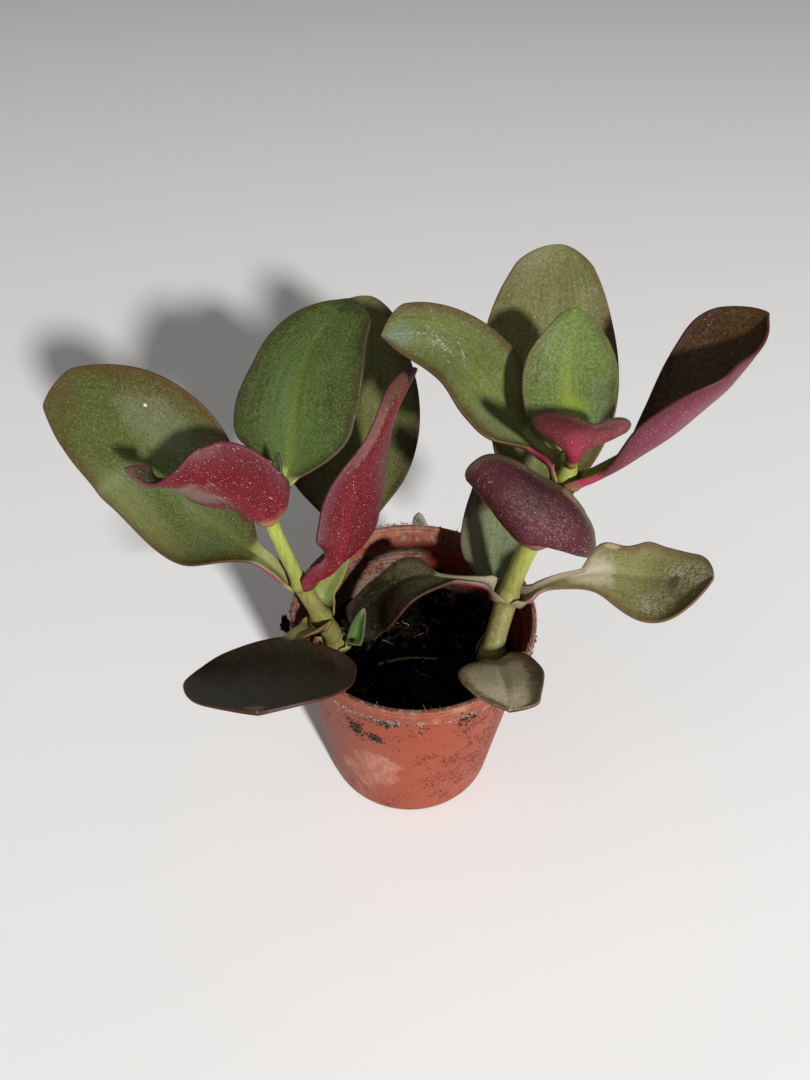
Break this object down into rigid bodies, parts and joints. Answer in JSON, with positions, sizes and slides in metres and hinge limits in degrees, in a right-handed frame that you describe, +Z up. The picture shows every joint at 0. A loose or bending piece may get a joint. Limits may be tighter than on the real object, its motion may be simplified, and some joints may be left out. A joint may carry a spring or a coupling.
{
  "type": "potted crassula plant",
  "caption": "Young purple dragon crassula: leafy stems with broad green leaves, crimson beneath, standing in a small tapered plastic pot of dark soil.",
  "frame": {"origin": "centre of the flat underside of the pot", "axes": "+Z up out of the pot, +Y to the back, +X to the right as the picture sees it"},
  "size_m": [0.1396, 0.1034, 0.1211],
  "materials": {
    "pot_plastic": "satin moulded, dusty",
    "soil": "rough, dark peat",
    "stem": "smooth, waxy",
    "leaf_green": "satin, waxy with pale dots",
    "leaf_olive": "satin, waxy with pale dots",
    "leaf_dark": "satin, dusty",
    "leaf_dusty": "matte, dusty bloom",
    "leaf_crimson": "satin, waxy with pale dots",
    "leaf_purple": "matte, dusty bloom",
    "dry_matter": "rough, dry"
  },
  "bodies": {
    "root": {"pot": "pot_plastic", "soil": "soil", "left_stem": "stem", "right_stem": "stem", "left_base_inner_leaf": "leaf_green", "left_base_front_leaf": "leaf_crimson", "left_low_front_leaf": "leaf_dark", "left_low_back_leaf": "leaf_olive", "left_mid_outer_leaf": "leaf_olive", "left_mid_inner_leaf": "leaf_crimson", "left_top_front_leaf": "leaf_crimson", "left_top_back_leaf": "leaf_green", "left_bud_front_leaf": "leaf_crimson", "left_bud_back_leaf": "leaf_green", "right_base_front_leaf": "leaf_dusty", "right_base_back_leaf": "leaf_dusty", "right_low_inner_leaf": "leaf_dark", "right_low_outer_leaf": "leaf_olive", "right_mid_front_leaf": "leaf_purple", "right_mid_back_leaf": "leaf_olive", "right_top_inner_leaf": "leaf_olive", "right_top_outer_leaf": "leaf_dark", "right_crown_front_leaf": "leaf_crimson", "right_crown_back_leaf": "leaf_green", "straw": "dry_matter", "dry_scrap": "dry_matter", "rim_crumb": "soil"}
  },
  "joints": []
}
